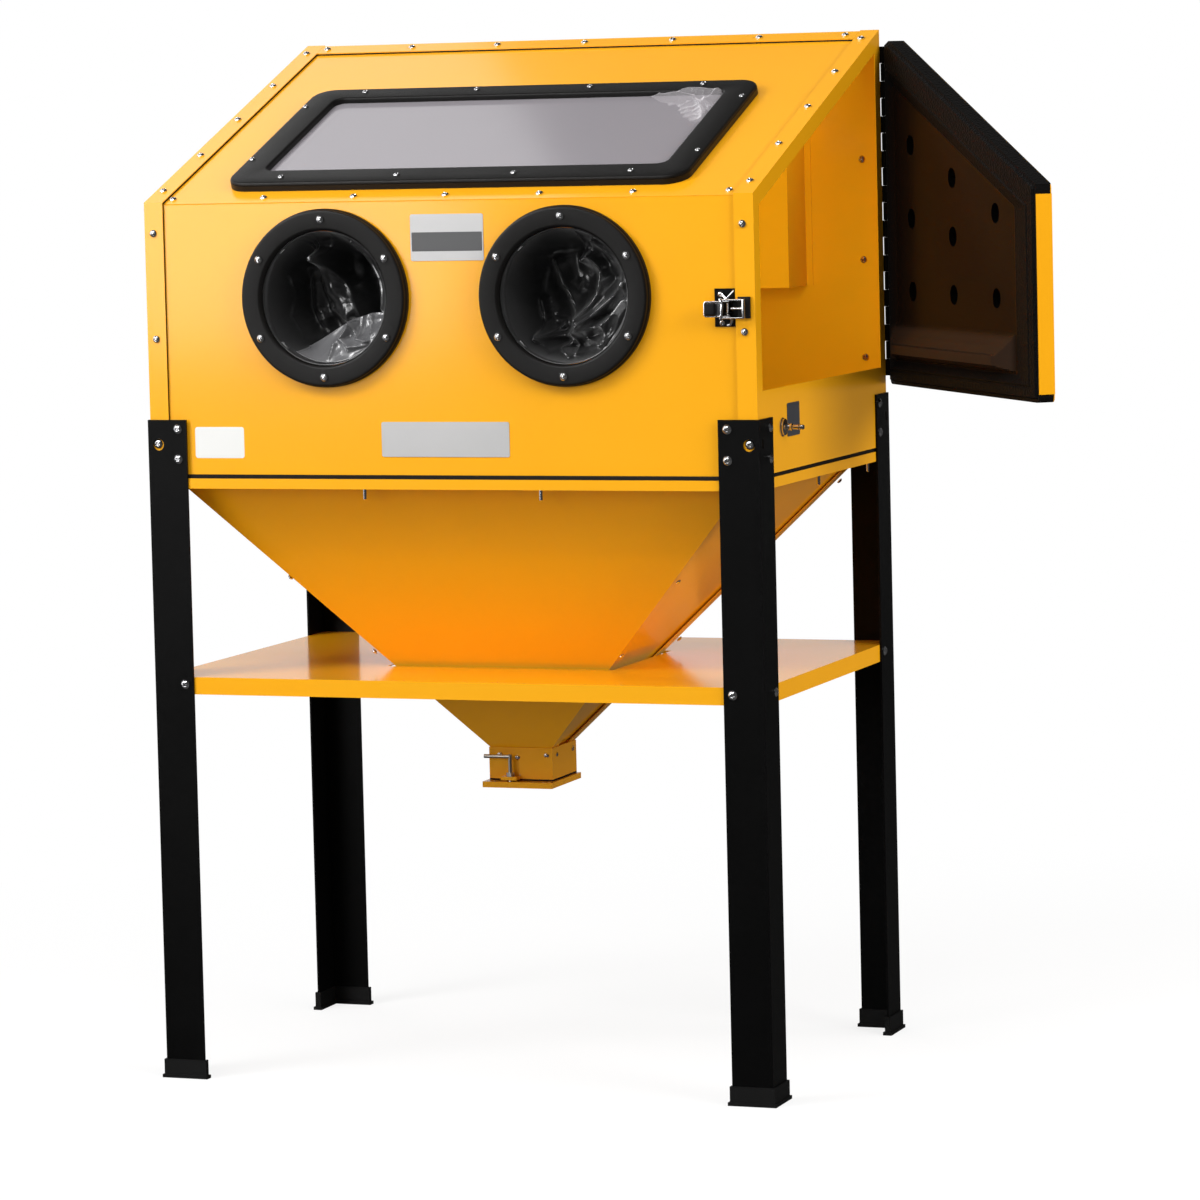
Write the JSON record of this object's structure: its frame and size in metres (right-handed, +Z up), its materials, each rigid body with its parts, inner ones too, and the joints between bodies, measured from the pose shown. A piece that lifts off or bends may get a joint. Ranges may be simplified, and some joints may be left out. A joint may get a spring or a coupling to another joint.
{
  "type": "sandblast cabinet",
  "caption": "Free-standing sandblast cabinet: folded sheet chamber with sloping window, arm ports, side loading door, grit funnel with swing hatch, shelf and angle legs.",
  "frame": {"origin": "on the floor, under the middle of the box round the whole machine with its door standing open", "axes": "+Z up; the front with the arm openings faces -Y; the loading door is on the +X side"},
  "size_m": [1.3617, 0.6966, 1.556],
  "materials": {
    "yellow_coat": "glossy powder coat, orange yellow",
    "black_coat": "satin powder coat, black",
    "black_moulding": "satin moulded plastic, black",
    "liner_moulding": "moulded liner with a fine grain, black with a brown tinge",
    "seal_foam": "black foam rubber",
    "window_glass": "clear pane over a dim chamber",
    "glove_sheet": "glossy flexible PVC sheet, black",
    "bright_steel": "bright zinc plate",
    "plain_steel": "zinc-plated steel, dull",
    "grip_rubber": "black dipped grip",
    "inlet_brass": "nickel-plated brass, slightly warm"
  },
  "bodies": {
    "cabinet": {"air_inlet": "inlet_brass", "arm_ring_left": "black_moulding", "arm_ring_right": "black_moulding", "arm_sleeve_left": "glove_sheet", "arm_sleeve_right": "glove_sheet", "extraction_baffle": "yellow_coat", "extraction_spigot": "plain_steel", "foot_front_left": "black_moulding", "foot_front_right": "black_moulding", "foot_rear_left": "black_moulding", "foot_rear_right": "black_moulding", "front_panel": "yellow_coat", "funnel_front": "yellow_coat", "funnel_left": "yellow_coat", "funnel_rear": "yellow_coat", "funnel_right": "yellow_coat", "hinge_frame_leaf": "black_coat", "hinge_pin": "plain_steel", "latch_base": "black_coat", "latch_pad": "seal_foam", "latch_pin": "bright_steel", "leg_bolts": "bright_steel", "leg_front_left": "black_coat", "leg_front_right": "black_coat", "leg_rear_left": "black_coat", "leg_rear_right": "black_coat", "outlet_box": "yellow_coat", "outlet_seal": "seal_foam", "panel_seal": "seal_foam", "rear_panel": "yellow_coat", "rim_gasket": "seal_foam", "shelf": "yellow_coat", "shelf_bolts": "bright_steel", "side_panel_left": "yellow_coat", "side_panel_right": "yellow_coat", "slope_panel": "yellow_coat", "window_frame": "black_moulding", "window_pane": "window_glass", "window_seal": "seal_foam", "work_grate": "plain_steel"},
    "door": {"door_liner": "liner_moulding", "door_skin": "yellow_coat", "hinge_door_leaf": "black_coat"},
    "hatch": {"hatch_plate": "yellow_coat", "hatch_handle": "plain_steel", "hatch_nuts": "plain_steel"},
    "latch_lever": {"latch_lever": "bright_steel", "latch_grip": "grip_rubber"},
    "latch_claw": {"latch_claw": "bright_steel"}
  },
  "joints": [
    {"name": "door_hinge", "type": "hinge", "parent": "cabinet", "child": "door", "pos_m": [0.29212, 0.30225, 1.276], "axis": [0, 0, 1], "range_deg": [-38, 80]},
    {"name": "hatch_swing", "type": "hinge", "parent": "cabinet", "child": "hatch", "pos_m": [-0.20588, -0.07525, 0.43], "axis": [0, 0, 1], "range_deg": [0, 110]},
    {"name": "latch_lever_swing", "type": "hinge", "parent": "cabinet", "child": "latch_lever", "pos_m": [0.24912, -0.33475, 1.157], "axis": [0, 0, 1], "range_deg": [0, 130]},
    {"name": "latch_claw_swing", "type": "hinge", "parent": "latch_lever", "child": "latch_claw", "pos_m": [0.24012, -0.33875, 1.157], "axis": [0, 0, 1], "range_deg": [-130, 0]}
  ],
  "couplings": [
    {"joint": "latch_claw_swing", "follows": "latch_lever_swing", "ratio": -1}
  ]
}
